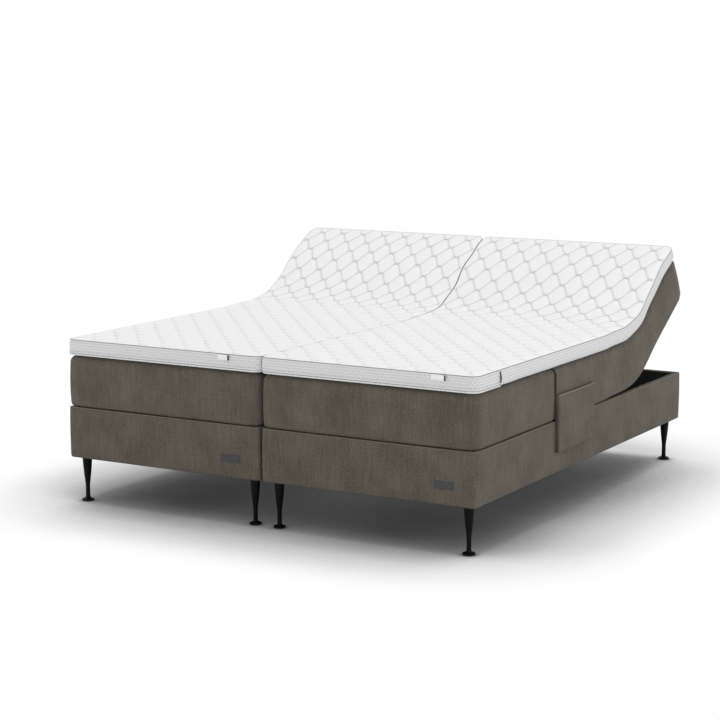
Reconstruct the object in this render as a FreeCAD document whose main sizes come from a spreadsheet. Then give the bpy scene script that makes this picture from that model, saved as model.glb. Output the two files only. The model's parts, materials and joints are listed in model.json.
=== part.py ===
import FreeCAD, Part
import math
import os
import re
import Sketcher

# A pair of adjustable beds side by side, in millimetres.
# Origin: on the floor, midway between the beds and midway between foot and head.
# X runs across the beds, Y from the foot to the head, Z up.

sizes = {
    "bed_width": 900,
    "bed_length": 2000,
    "bed_gap": 8,
    "leg_height": 180,
    "base_height": 205,
    "wall": 25,
    "skin": 3,
    "cover_radius": 15,
    "board_radius": 12,
    "mattress_low": 386,
    "mattress_high": 592,
    "topper_low": 594.5,
    "topper_high": 661,
    "section_gap": 2,
    # the cuts at the hip, measured from the back pivot
    "hip_seat_mattress": 27,
    "hip_seat_slope": 14,
    "hip_seat_topper": 37,
    "hip_back": 19,
    "hip_fold": 10,
    # places of the hinges
    "back_pivot_y": 396,
    "back_pivot_z": 578,
    "back_angle": 31,
    "back_travel": 65,
    "thigh_pivot_y": 50,
    "knee_pivot_y": -300,
    "hinge_z": 360,
    "thigh_travel": 30,
    # moving frames of square tube, and the decks on them
    "tube": 25,
    "tube_wall": 2,
    "tube_low": 348,
    "rail_in": 363,
    "deck_half": 385,
    "deck_low": 373.5,
    "deck_thick": 12,
    "push_rail_in": 150,
    "front_bar_y": 75,
    "rear_bar_y": 215,
    "seat_deck_high": 262,
    "back_frame_low": 265,
    "back_frame_high": 955,
    "back_bar_y": 600,
    "back_deck_setback": 12,
    "back_deck_overhang": 5,
    "calf_frame_low": -968,
    "calf_bar_y": -650,
    "calf_knee_bar": -350,
    "calf_deck_overhang": 4,
    "frame_setback": 15,
    # hinge lugs and pins
    "lug": 5,
    "lug_half": 11,
    "lug_length": 55,
    "pin_radius": 5,
    "pin_tail": 2,
    "pin_head": 3,
    # gaps between pieces: pressed, set beside each other, and running
    "pressed_gap": 0.05,
    "side_gap": 0.2,
    "running_gap": 0.3,
    # curved guide rails that carry the back section
    "guide_radius": 320,
    "guide_depth": 20,
    "guide_in": 398,
    "guide_thick": 8,
    "guide_half_angle": 52,
    "post_radius": 8,
    "post_angle": 5,
    "carriage_half_angle": 49.5,
    "shoe_depth": 12,
    "shoe_angle": 6,
    "shoe_lap": 2,
    "arm_in": 388,
    "arm_thick": 6,
    "arm_inner_lap": 17,
    "arm_outer_lap": 16,
    "neck_low_y": 277,
    "neck_high_y": 372,
    "neck_low": 290,
    # lift shafts
    "shaft_radius": 12.5,
    "shaft_half": 420,
    "back_shaft_y": 632,
    "back_shaft_z": 265,
    "back_arm": 145,
    "leg_shaft_y": -47,
    "leg_shaft_z": 283,
    "leg_arm": 92,
    "lift_bar": 20,
    "lift_bar_thick": 12,
    "lift_pad_radius": 13,
    "bracket": 50,
    "bracket_in": 405,
    "collar": 7,
    "bore_clearance": 0.5,
    # twin motor and its control box
    "motor_half": 70,
    "motor_low": 205,
    "motor_high": 306,
    "motor_radius": 10,
    "motor_shoulder": 60,
    "motor_drop": 12,
    "motor_nose": 48,
    "cap_inset": 8,
    "cap_below": 34,
    "cap_above": 20,
    "cap_radius": 6,
    "control_x": 85,
    "control_y": 80,
    "control_width": 180,
    "control_depth": 150,
    "control_height": 42,
    "control_radius": 8,
    "inlet_x": 110,
    "inlet_width": 30,
    "inlet_height": 20,
    "inlet_depth": 16,
    "inlet_rise": 11,
    # legs
    "leg_inset_x": 50,
    "leg_inset_foot": 50,
    "leg_inset_head": 50,
    "leg_top_radius": 20,
    "leg_waist_radius": 8.7,
    "leg_waist_z": 70,
    "leg_ankle_z": 16,
    "leg_foot_radius": 24,
    "leg_foot_z": 9,
    "glide_thick": 3,
    "glide_radius": 22.5,
    "glide_bevel": 1,
    "bolt_radius": 5,
    "bolt_depth": 28,
    "bolt_tip_gap": 3,
    "bolt_head_radius": 9.8,
    "bolt_head": 6.4,
    "block": 62,
    "block_height": 45,
    # headboard holes
    "headboard_hole": 9,
    "headboard_hole_x": 200,
    "headboard_hole_z": 282,
    # badges and bed links
    "badge_width": 81,
    "badge_height": 28,
    "badge_thick": 2.5,
    "badge_radius": 2,
    "badge_z": 256,
    "badge_inset": 86,
    "link_width": 58,
    "link_length": 90,
    "link_y": 700,
    # pocket and handset
    "pocket_low_y": -318,
    "pocket_high_y": 40,
    "pocket_low": 265,
    "pocket_hem": 488,
    "pocket_out": 905,
    "pocket_cloth": 3,
    "pocket_depth": 13,
    "pocket_tuck": 104,
    "flap_low_y": -296,
    "flap_high_y": -20,
    "handset_y": -262,
    "handset_width": 48,
    "handset_height": 150,
    "handset_thick": 9.8,
    "handset_low": 269,
    "handset_gap": 1,
    "handset_radius": 9,
    "key_width": 15,
    "key_height": 12,
    "key_rise": 1.4,
    "key_sink": 2.2,
    "key_play": 0.35,
    "key_radius": 2.5,
    "key_pitch_y": 20,
    "key_pitch_z": 26,
    "key_top_z": 402,
    # how far a cutting solid runs past the face that it opens
    "overshoot": 1,
}

lift_ratio = {"back": -0.699, "leg": -2.312}  # turn of each lift shaft for a turn of its section
lift_start = {"back": 152.2, "leg": 147.6}  # angle of the lift arms with the bed flat, from +Y
bed_centres = {"left": "-(bed_width + bed_gap) / 2", "right": "(bed_width + bed_gap) / 2"}
base_top = "leg_height + base_height"
across = FreeCAD.Vector(1, 0, 0)

doc = FreeCAD.newDocument("AdjustableBed")
sheet = doc.addObject("Spreadsheet::Sheet", "Sizes")
for row, (alias, value) in enumerate(sizes.items(), start=1):
    sheet.set("A%d" % row, alias)
    sheet.set("B%d" % row, str(value))
    sheet.setAlias("B%d" % row, alias)
doc.recompute()


def cells(text):
    """An expression in which each driving dimension points at its cell."""
    return re.sub(r"[a-z]\w*", lambda word: "Sizes." + word[0] if word[0] in sizes else word[0], text)


def bind(piece, **expressions):
    for name, text in expressions.items():
        piece.setExpression(name, cells(text))


def move(piece, x, y, z):
    for axis, text in zip("xyz", (x, y, z)):
        piece.setExpression("Placement.Base." + axis, cells(text))


def box(name, x, y, z):
    """A box between two ends along each axis."""
    piece = doc.addObject("Part::Box", name)
    move(piece, x[0], y[0], z[0])
    ends = {"Length": x, "Width": y, "Height": z}
    bind(piece, **{side: "(%s) - (%s)" % (high, low) for side, (low, high) in ends.items()})
    return piece


def rod(name, x, y, z, radius, turn=0, sweep="360"):
    """A round bar along X between two ends; a part turn makes a wedge that starts straight down."""
    piece = doc.addObject("Part::Cylinder", name)
    quarter = FreeCAD.Rotation(FreeCAD.Vector(0, 1, 0), 90)
    piece.Placement = FreeCAD.Placement(FreeCAD.Vector(), FreeCAD.Rotation(across, turn) * quarter)
    move(piece, x[0], y, z)
    bind(piece, Radius=radius, Height="(%s) - (%s)" % (x[1], x[0]), Angle=sweep)
    return piece


def cut(name, base, *tools):
    for tool in tools:
        piece = doc.addObject("Part::Cut", name)
        piece.Base = base
        piece.Tool = tool
        base = piece
    return base


def common(name, base, tool):
    piece = doc.addObject("Part::Common", name)
    piece.Base = base
    piece.Tool = tool
    return piece


def fuse(name, *pieces):
    piece = doc.addObject("Part::MultiFuse", name)
    piece.Shapes = list(pieces)
    piece.Refine = True
    return piece


def ring(name, x, inner, outer, start, sweep):
    """A flat bar bent about the back pivot, from a start angle that is measured from straight down."""
    centre = ("back_pivot_y", "back_pivot_z")
    disc = rod(name + "_disc", x, *centre, outer, start, sweep)
    hole = rod(name + "_hole", x, *centre, inner)
    return cut(name, disc, hole)


def tube(name, x, y, z, along):
    """A square tube with open ends, along X or Y."""
    solid = box(name + "_solid", x, y, z)
    inside = {"x": x, "y": y, "z": z}
    for axis, (low, high) in inside.items():
        if axis != along:
            inside[axis] = ("(%s) + tube_wall" % low, "(%s) - tube_wall" % high)
    hollow = box(name + "_hollow", inside["x"], inside["y"], inside["z"])
    return cut(name, solid, hollow)


def mirrored(centre, side, near, far):
    """The two ends along X of something between two distances from a bed's centre."""
    if side > 0:
        return "%s + %s" % (centre, near), "%s + %s" % (centre, far)
    return "%s - (%s)" % (centre, far), "%s - (%s)" % (centre, near)


def outline(body, plane, corners):
    """A closed outline of straight sides, each corner held by two expressions."""
    sketch = body.newObject("Sketcher::SketchObject", body.Name + "_outline")
    support = [feature for feature in body.Origin.OriginFeatures if feature.Role == plane][0]
    sketch.AttachmentSupport = [(support, "")]
    sketch.MapMode = "FlatFace"
    count = len(corners)
    start = [FreeCAD.Vector(math.cos(2 * math.pi * n / count), math.sin(2 * math.pi * n / count), 0)
             for n in range(count)]
    for n in range(count):
        sketch.addGeometry(Part.LineSegment(start[n] * 100, start[(n + 1) % count] * 100), False)
    for n in range(count):
        sketch.addConstraint(Sketcher.Constraint("Coincident", n, 2, (n + 1) % count, 1))
    for n, corner in enumerate(corners):
        for kind, text in zip(("DistanceX", "DistanceY"), corner):
            number = sketch.addConstraint(Sketcher.Constraint(kind, -1, 1, n, 1, 1.0))
            sketch.setExpression("Constraints[%d]" % number, cells(text))
    return sketch


def extruded(name, corners, x):
    """A straight-sided outline in Y and Z, padded along X between two ends."""
    body = doc.addObject("PartDesign::Body", name)
    sketch = outline(body, "YZ_Plane", corners)
    pad = body.newObject("PartDesign::Pad", name + "_pad")
    pad.Profile = sketch
    bind(pad, Length="(%s) - (%s)" % (x[1], x[0]))
    move(body, x[0], "0", "0")
    return body


def rounded(name, base, edges, radius):
    """A body's chosen edges rounded, each edge found by a test on the edge."""
    doc.recompute()
    shape = base.Shape
    numbers = [n for n, edge in enumerate(shape.Edges, start=1) if edges(edge)]
    fillet = doc.addObject("Part::Fillet", name)
    fillet.Base = base
    fillet.Edges = [(n, sizes[radius], sizes[radius]) for n in numbers]
    return fillet


def along(axis):
    """A test for straight edges that run along one axis."""
    def test(edge):
        ends = [vertex.Point for vertex in edge.Vertexes]
        if len(ends) != 2:
            return False
        run = ends[1] - ends[0]
        return abs(abs(getattr(run, axis)) - run.Length) < 1e-6
    return test


nodes = []


def node(name, pieces):
    """One named sub-part made of one or more separate solids."""
    group = doc.addObject("Part::Compound", name)
    group.Label = name
    group.Links = pieces
    nodes.append(group)
    return group


def turned(group, angle, y, z):
    """Turns a sub-part about an axis along X."""
    group.Placement = FreeCAD.Placement(
        FreeCAD.Vector(), FreeCAD.Rotation(across, angle), FreeCAD.Vector(0, y, z))


def raised(group):
    turned(group, sizes["back_angle"], sizes["back_pivot_y"], sizes["back_pivot_z"])


# ---- the upholstered box of each bed ----

def box_of_boards():
    side, foot, head, covers, blocks = [], [], [], [], []
    half = "bed_width / 2"
    low_z, high_z = "leg_height + skin", base_top + " - skin"
    for bed, centre in bed_centres.items():
        boards = box(bed + "_boards_block",
                     (centre + " - (bed_width / 2 - skin)", centre + " + (bed_width / 2 - skin)"),
                     ("-bed_length / 2 + skin", "bed_length / 2 - skin"), (low_z, high_z))
        boards = rounded(bed + "_boards_outside", boards, along("z"), "board_radius")
        for hand in (-1, 1):
            x = mirrored(centre, hand, "bed_width / 2 - wall", "bed_width / 2")
            slab = box(bed + "_side_slab", x, ("-bed_length / 2", "bed_length / 2"), (low_z, high_z))
            side.append(common(bed + "_side_board", boards, slab))
        x = (centre + " - (bed_width / 2 - wall)", centre + " + (bed_width / 2 - wall)")
        foot.append(box(bed + "_foot_board", x,
                        ("-bed_length / 2 + skin", "-bed_length / 2 + wall"), (low_z, high_z)))
        board = box(bed + "_head_board", x,
                    ("bed_length / 2 - wall", "bed_length / 2 - skin"), (low_z, high_z))
        holes = [hole_along_y(bed + "_hole", centre, hand) for hand in (-1, 1)]
        head.append(cut(bed + "_drilled_head_board", board, *holes))
        outer = box(bed + "_cover_outside", (centre + " - " + half, centre + " + " + half),
                    ("-bed_length / 2", "bed_length / 2"), ("leg_height", base_top))
        outer = rounded(bed + "_cover_corners", outer, along("z"), "cover_radius")
        inner = box(bed + "_cover_inside", x,
                    ("-bed_length / 2 + wall", "bed_length / 2 - wall"), ("leg_height", base_top))
        holes = [hole_along_y(bed + "_cover_hole", centre, hand) for hand in (-1, 1)]
        covers.append(cut(bed + "_cover", outer, inner, boards, *holes))
    for place in leg_places():
        blocks.append(corner_block(*place))
    node("side_boards", side)
    node("foot_boards", foot)
    node("head_boards", head)
    node("base_covers", covers)
    node("corner_blocks", blocks)


def hole_along_y(name, centre, hand):
    """A headboard bolt's hole through the head wall."""
    hole = doc.addObject("Part::Cylinder", name)
    hole.Placement.Rotation = FreeCAD.Rotation(across, -90)
    move(hole, "%s + %d * headboard_hole_x" % (centre, hand), "bed_length / 2 - 2 * wall", "headboard_hole_z")
    bind(hole, Radius="headboard_hole / 2", Height="3 * wall")
    return hole


# ---- legs ----

def leg_places():
    """Each leg as its bed's centre and its two sides, across and along."""
    return [(centre, hand, end) for centre in bed_centres.values() for hand in (-1, 1) for end in (-1, 1)]


def leg_axis(centre, hand, end):
    inset = "leg_inset_head" if end > 0 else "leg_inset_foot"
    return ("%s + %d * (bed_width / 2 - leg_inset_x)" % (centre, hand),
            "%d * (bed_length / 2 - %s)" % (end, inset))


def corner_block(centre, hand, end):
    x = mirrored(centre, hand, "bed_width / 2 - wall - block", "bed_width / 2 - wall")
    inner, outer = "bed_length / 2 - wall - block", "bed_length / 2 - wall"
    y = (inner, outer) if end > 0 else ("-(%s)" % outer, "-(%s)" % inner)
    block = box("corner_block", x, y, ("leg_height", "leg_height + block_height"))
    axis = leg_axis(centre, hand, end)
    bore = doc.addObject("Part::Cylinder", "bolt_bore")
    move(bore, *axis, "leg_height")
    bind(bore, Radius="bolt_radius + running_gap", Height="block_height")
    return cut("drilled_block", block, bore)


def turned_leg():
    """One leg: a taper to a slim waist, a foot disc, and a blind hole for its bolt."""
    leg = doc.addObject("PartDesign::Body", "turned_leg")
    hole = "bolt_radius + running_gap"
    profile = outline(leg, "XZ_Plane", [
        ("0", "glide_thick"),
        ("leg_foot_radius", "glide_thick"),
        ("leg_foot_radius", "leg_foot_z"),
        ("leg_waist_radius", "leg_ankle_z"),
        ("leg_waist_radius", "leg_waist_z"),
        ("leg_top_radius", "leg_height"),
        (hole, "leg_height"),
        (hole, "leg_height - bolt_depth"),
        ("0", "leg_height - bolt_depth"),
    ])
    turn = leg.newObject("PartDesign::Revolution", "leg_turning")
    turn.Profile = profile
    turn.ReferenceAxis = (profile, ["V_Axis"])
    turn.Angle = 360
    return leg


def legs():
    leg = turned_leg()
    shank = doc.addObject("Part::Cylinder", "bolt_shank")
    bind(shank, Radius="bolt_radius", Height="bolt_depth - bolt_tip_gap + block_height")
    move(shank, "0", "0", "leg_height - bolt_depth + bolt_tip_gap")
    hexagon = doc.addObject("Part::Prism", "bolt_hexagon")
    hexagon.Polygon = 6
    bind(hexagon, Circumradius="bolt_head_radius", Height="bolt_head")
    move(hexagon, "0", "0", "leg_height + block_height")
    bolt = fuse("leg_bolt", shank, hexagon)
    glide = doc.addObject("Part::Cone", "leg_glide")
    bind(glide, Radius1="glide_radius - glide_bevel", Radius2="glide_radius", Height="glide_thick")
    for name, source in (("legs", leg), ("leg_bolts", bolt), ("leg_glides", glide)):
        copies = []
        for place in leg_places():
            copy = doc.addObject("App::Link", name + "_copy")
            copy.LinkedObject = source
            axis = leg_axis(*place)
            move(copy, *axis, "0")
            copies.append(copy)
        node(name, copies)


# ---- fixed steelwork ----

def fixed_frame():
    bars, decks, pins, rails, brackets = [], [], [], [], []
    inside = "bed_width / 2 - wall"
    for bed, centre in bed_centres.items():
        x = ("%s - (%s)" % (centre, inside), "%s + %s" % (centre, inside))
        z = ("tube_low", "tube_low + tube")
        for bar in ("front_bar_y", "rear_bar_y"):
            bars.append(tube(bed + "_seat_bar", x, (bar, bar + " + tube"), z, "x"))
        for hand in (-1, 1):
            bars.append(lug(bed + "_seat_lug", mirrored(centre, hand, "rail_in - lug", "rail_in"),
                            "thigh_pivot_y", ("thigh_pivot_y", "front_bar_y"), "pressed_gap"))
            pins.append(hinge_pin(bed + "_thigh_pin", centre, hand, "thigh_pivot_y"))
            rails.append(guide_rail(bed, centre, hand))
            for shaft in ("back", "leg"):
                brackets.append(shaft_bracket(bed, centre, hand, shaft))
        deck_x = (centre + " - deck_half", centre + " + deck_half")
        decks.append(box(bed + "_seat_deck", deck_x, ("thigh_pivot_y + frame_setback", "seat_deck_high"),
                         ("deck_low", "deck_low + deck_thick")))
    node("seat_bars", bars)
    node("seat_decks", decks)
    node("thigh_hinge_pins", pins)
    node("guide_rails", rails)
    node("shaft_brackets", brackets)


def lug(name, x, hinge_y, plate_y, clearance):
    """A hinge plate between its frame and the hinge, with its end rounded about the pin."""
    plate = box(name + "_plate", x, plate_y, ("hinge_z - lug_half", "hinge_z + lug_half"))
    eye = rod(name + "_eye", x, hinge_y, "hinge_z", "lug_half")
    hole = rod(name + "_bore", x, hinge_y, "hinge_z", "pin_radius + " + clearance)
    return cut(name, fuse(name + "_blank", plate, eye), hole)


def hinge_pin(name, centre, hand, hinge_y):
    """A pin through an inner and an outer lug."""
    x = mirrored(centre, hand, "rail_in - lug - pin_tail", "arm_in + lug + pin_head")
    return rod(name, x, hinge_y, "hinge_z", "pin_radius")


def guide_rail(bed, centre, hand):
    x = mirrored(centre, hand, "guide_in", "guide_in + guide_thick")
    bar = ring(bed + "_guide_bar", x, "guide_radius", "guide_radius + guide_depth",
               -sizes["guide_half_angle"], "2 * guide_half_angle")
    posts = []
    for turn in (-1, 1):
        angle = math.radians(turn * (sizes["guide_half_angle"] - sizes["post_angle"]))
        middle = "(guide_radius + guide_depth / 2)"
        y = "back_pivot_y + %.6f * %s" % (math.sin(angle), middle)
        z = "back_pivot_z - %.6f * %s" % (math.cos(angle), middle)
        ends = mirrored(centre, hand, "guide_in + guide_thick", "bed_width / 2 - wall")
        posts.append(rod(bed + "_guide_post", ends, y, z, "post_radius"))
    return fuse(bed + "_guide_rail", bar, *posts)


def shaft_bracket(bed, centre, hand, shaft):
    y, z = shaft + "_shaft_y", shaft + "_shaft_z"
    x = mirrored(centre, hand, "bracket_in", "bed_width / 2 - wall")
    block = box(bed + "_shaft_block", x, (y + " - bracket / 2", y + " + bracket / 2"),
                (z + " - bracket / 2", z + " + bracket / 2"))
    bore = rod(bed + "_shaft_bore", x, y, z, "shaft_radius + bore_clearance")
    return cut(bed + "_shaft_bracket", block, bore)


def motors():
    housings, caps, controls = [], [], []
    for bed, centre in bed_centres.items():
        x = (centre + " - motor_half", centre + " + motor_half")
        profile = [
            ("leg_shaft_y", "motor_low"),
            ("back_shaft_y", "motor_low"),
            ("back_shaft_y", "motor_high - motor_drop"),
            ("back_shaft_y - motor_shoulder", "motor_high"),
            ("leg_shaft_y", "motor_high"),
        ]
        block = extruded(bed + "_motor_block", profile, x)
        block = rounded(bed + "_motor_soft_block", block, along("y"), "motor_radius")
        bores = [rod(bed + "_motor_bore", x, shaft + "_shaft_y", shaft + "_shaft_z",
                     "shaft_radius + bore_clearance") for shaft in ("back", "leg")]
        housings.append(cut(bed + "_motor_housing", block, *bores))
        ends = (("leg", "leg_shaft_y - motor_nose", "leg_shaft_y - side_gap"),
                ("back", "back_shaft_y + side_gap", "back_shaft_y + motor_nose"))
        for shaft, low, high in ends:
            narrow = (centre + " - motor_half + cap_inset", centre + " + motor_half - cap_inset")
            cap = box(bed + "_cap_block", narrow, (low, high),
                      (shaft + "_shaft_z - cap_below", shaft + "_shaft_z + cap_above"))
            cap = rounded(bed + "_cap_soft", cap, along("y"), "cap_radius")
            bore = rod(bed + "_cap_bore", narrow, shaft + "_shaft_y", shaft + "_shaft_z",
                       "shaft_radius + bore_clearance")
            caps.append(cut(bed + "_motor_cap", cap, bore))
        controls.append(control_box(bed, centre))
    node("motor_housings", housings)
    node("motor_end_caps", caps)
    node("control_boxes", controls)


def control_box(bed, centre):
    """The control box under the seat bars, with the mains inlet in the face that looks at the foot."""
    high = "tube_low - running_gap"
    low = high + " - control_height"
    case = box(bed + "_control_case", (centre + " + control_x", centre + " + control_x + control_width"),
               ("control_y", "control_y + control_depth"), (low, high))
    case = rounded(bed + "_control_soft", case, along("z"), "control_radius")
    inlet = box(bed + "_inlet", (centre + " + inlet_x", centre + " + inlet_x + inlet_width"),
                ("control_y - overshoot", "control_y + inlet_depth"),
                (low + " + inlet_rise", low + " + inlet_rise + inlet_height"))
    return cut(bed + "_control_box", case, inlet)


# ---- moving sections ----

def back_section(bed, centre):
    z = ("tube_low", "tube_low + tube")
    low, high = "back_frame_low", "back_frame_high"
    across_x = (centre + " - rail_in", centre + " + rail_in")
    pieces = []
    shoes = []
    middle = "back_bar_y"
    for y in ((low, low + " + tube"), (middle, middle + " + tube"), (high + " - tube", high)):
        pieces.append(tube(bed + "_back_bar", across_x, y, z, "x"))
    for hand in (-1, 1):
        pieces.append(tube(bed + "_back_rail", mirrored(centre, hand, "rail_in", "rail_in + tube"),
                           (low, high), z, "y"))
        pieces.append(tube(bed + "_back_push_rail",
                           mirrored(centre, hand, "push_rail_in", "push_rail_in + tube"),
                           (low + " + tube", middle), z, "y"))
        arm, pair = guide_arm(bed, centre, hand)
        pieces.append(arm)
        shoes += pair
    raised(node(bed + "_back_frame", pieces))
    raised(node(bed + "_guide_shoes", shoes))
    deck = box(bed + "_back_board", (centre + " - deck_half", centre + " + deck_half"),
               (low + " + back_deck_setback", high + " + back_deck_overhang"),
               ("deck_low", "deck_low + deck_thick"))
    raised(node(bed + "_back_deck", [deck]))


def guide_arm(bed, centre, hand):
    """A plate under the back rail, and the two pairs of shoes on it that grip the guide rail."""
    x = mirrored(centre, hand, "arm_in", "arm_in + arm_thick")
    low = -sizes["carriage_half_angle"]
    span = 2 * sizes["carriage_half_angle"] - sizes["back_travel"]
    curve = ring(bed + "_arm_curve", x, "guide_radius - arm_inner_lap",
                 "guide_radius + guide_depth + arm_outer_lap",
                 low, "2 * carriage_half_angle - back_travel")
    neck = box(bed + "_arm_neck", x, ("neck_low_y", "neck_high_y"), ("neck_low", "tube_low + tube"))
    arm = fuse(bed + "_guide_arm", curve, neck)
    shoes = []
    shoe_x = mirrored(centre, hand, "arm_in + arm_thick", "guide_in + guide_thick + shoe_lap")
    inside, outside = "guide_radius - running_gap", "guide_radius + guide_depth + running_gap"
    rings = ((inside + " - shoe_depth", inside), (outside, outside + " + shoe_depth"))
    for start in (low, low + span - sizes["shoe_angle"]):
        for inner, outer in rings:
            shoes.append(ring(bed + "_guide_shoe", shoe_x, inner, outer, start, "shoe_angle"))
    return arm, shoes


def leg_sections(bed, centre):
    z = ("tube_low", "tube_low + tube")
    across_x = (centre + " - rail_in", centre + " + rail_in")
    deck_x = (centre + " - deck_half", centre + " + deck_half")
    deck_z = ("deck_low", "deck_low + deck_thick")
    thigh_low, thigh_high = "knee_pivot_y + frame_setback", "thigh_pivot_y - frame_setback"
    calf_low, calf_high = "calf_frame_low", "knee_pivot_y - frame_setback"

    thigh = [tube(bed + "_thigh_bar", across_x, (thigh_low, thigh_low + " + tube"), z, "x"),
             tube(bed + "_thigh_bar", across_x, (thigh_high + " - tube", thigh_high), z, "x")]
    calf = [tube(bed + "_calf_bar", across_x, (calf_low, calf_low + " + tube"), z, "x"),
            tube(bed + "_calf_bar", across_x, ("calf_bar_y", "calf_bar_y + tube"), z, "x"),
            tube(bed + "_calf_bar", across_x, ("calf_knee_bar - tube", "calf_knee_bar"), z, "x")]
    pins = []
    for hand in (-1, 1):
        rail_x = mirrored(centre, hand, "rail_in", "rail_in + tube")
        outer_x = mirrored(centre, hand, "arm_in", "arm_in + lug")
        inner_x = mirrored(centre, hand, "rail_in - lug", "rail_in")
        thigh.append(tube(bed + "_thigh_rail", rail_x, (thigh_low, thigh_high), z, "y"))
        thigh.append(tube(bed + "_thigh_push_rail",
                          mirrored(centre, hand, "push_rail_in", "push_rail_in + tube"),
                          (thigh_low + " + tube", thigh_high + " - tube"), z, "y"))
        thigh.append(lug(bed + "_thigh_lug", outer_x, "thigh_pivot_y",
                         ("thigh_pivot_y - lug_length", "thigh_pivot_y"), "running_gap"))
        thigh.append(lug(bed + "_knee_lug", outer_x, "knee_pivot_y",
                         ("knee_pivot_y", "knee_pivot_y + lug_length"), "pressed_gap"))
        calf.append(tube(bed + "_calf_rail", rail_x, (calf_low, calf_high), z, "y"))
        calf.append(lug(bed + "_calf_lug", inner_x, "knee_pivot_y",
                        ("calf_knee_bar + side_gap", "knee_pivot_y"), "running_gap"))
        pins.append(hinge_pin(bed + "_knee_pin", centre, hand, "knee_pivot_y"))
    node(bed + "_thigh_frame", thigh)
    node(bed + "_calf_frame", calf)
    node(bed + "_knee_pins", pins)
    node(bed + "_thigh_deck", [box(bed + "_thigh_board", deck_x, (thigh_low, thigh_high), deck_z)])
    node(bed + "_calf_deck", [box(bed + "_calf_board", deck_x,
                                  (calf_low + " - calf_deck_overhang", calf_high), deck_z)])


def lift_shaft(bed, centre, shaft, rest_turn):
    """A shaft across the bed with two arms welded on, whose nylon ends push up under a section."""
    y, z, reach = shaft + "_shaft_y", shaft + "_shaft_z", shaft + "_arm"
    bar = rod(bed + "_shaft_bar", (centre + " - shaft_half", centre + " + shaft_half"), y, z, "shaft_radius")
    pieces = [bar]
    for hand in (-1, 1):
        middle = "push_rail_in + tube / 2"
        flat_x = mirrored(centre, hand, middle + " - lift_bar_thick / 2", middle + " + lift_bar_thick / 2")
        wide_x = mirrored(centre, hand, middle + " - tube / 2", middle + " + tube / 2")
        collar = rod(bed + "_lift_collar", wide_x, y, z, "shaft_radius + collar")
        flat = box(bed + "_lift_flat", flat_x, (y, "%s + %s - lift_pad_radius" % (y, reach)),
                   (z + " - lift_bar / 2", z + " + lift_bar / 2"))
        bore = rod(bed + "_collar_bore", wide_x, y, z, "shaft_radius")
        pieces.append(cut(bed + "_lift_arm", fuse(bed + "_lift_blank", collar, flat), bore))
        pieces.append(rod(bed + "_lift_pad", wide_x, "%s + %s" % (y, reach), z, "lift_pad_radius"))
    group = node("%s_%s_lift_shaft" % (bed, shaft), pieces)
    turned(group, lift_start[shaft] + lift_ratio[shaft] * rest_turn,
           sizes[shaft + "_shaft_y"], sizes[shaft + "_shaft_z"])


# ---- mattresses and toppers, cut where the beds bend ----

def soft_sections(bed, centre):
    x = (centre + " - bed_width / 2", centre + " + bed_width / 2")
    half_thigh = "tan(thigh_travel / 2)"
    half_back = "tan(back_travel / 2)"
    sections = {"mattress": ("mattress_low", "mattress_high"), "topper": ("topper_low", "topper_high")}
    seat = {}
    for kind, (low, high) in sections.items():
        seat_hip, back_hip = {}, {}
        seat_thigh, thigh_seat = {}, {}
        for z in (low, high):
            lean = "%s * (%s - hinge_z) + section_gap" % (half_thigh, z)
            seat_thigh[z] = "thigh_pivot_y + " + lean
            thigh_seat[z] = "thigh_pivot_y - (%s)" % lean
            if kind == "mattress":
                seat_hip[z] = "back_pivot_y - hip_seat_mattress - (%s - mattress_low) / hip_seat_slope" % z
                back_hip[z] = "back_pivot_y - hip_back"
            else:
                lean = "%s * (%s - back_pivot_z - hip_fold)" % (half_back, z)
                seat_hip[z] = "back_pivot_y - hip_seat_topper - " + lean
                back_hip[z] = "back_pivot_y - hip_back + " + lean
        knee = ("knee_pivot_y - section_gap / 2", "knee_pivot_y + section_gap / 2")
        ends = {
            "seat": (seat_thigh, seat_hip),
            "back": (back_hip, {low: "bed_length / 2", high: "bed_length / 2"}),
            "thigh": ({low: knee[1], high: knee[1]}, thigh_seat),
            "calf": ({low: "-bed_length / 2", high: "-bed_length / 2"}, {low: knee[0], high: knee[0]}),
        }
        for section, (foot_end, head_end) in ends.items():
            corners = [(foot_end[low], low), (head_end[low], low),
                       (head_end[high], high), (foot_end[high], high)]
            solid = extruded("%s_%s_%s_pad" % (bed, section, kind), corners, x)
            if section == "seat":
                seat[kind] = solid
                continue
            group = node("%s_%s_%s" % (bed, section, kind), [solid])
            if section == "back":
                raised(group)
    return seat


# ---- small pieces on the outside ----

def badges():
    pieces = []
    for bed, centre in bed_centres.items():
        right = centre + " + bed_width / 2 - badge_inset"
        x = (right + " - badge_width", right)
        plate = box(bed + "_badge_plate", x, ("-bed_length / 2 - badge_thick", "-bed_length / 2"),
                    ("badge_z - badge_height / 2", "badge_z + badge_height / 2"))
        pieces.append(rounded(bed + "_badge", plate, along("y"), "badge_radius"))
    node("badges", pieces)


def bed_links():
    pieces = []
    for end in (-1, 1):
        y = ("%d * link_y - link_length / 2" % end, "%d * link_y + link_length / 2" % end)
        pieces.append(box("bed_link", ("-link_width / 2", "link_width / 2"), y,
                          ("leg_height - skin", "leg_height")))
    node("bed_link_plates", pieces)


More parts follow.
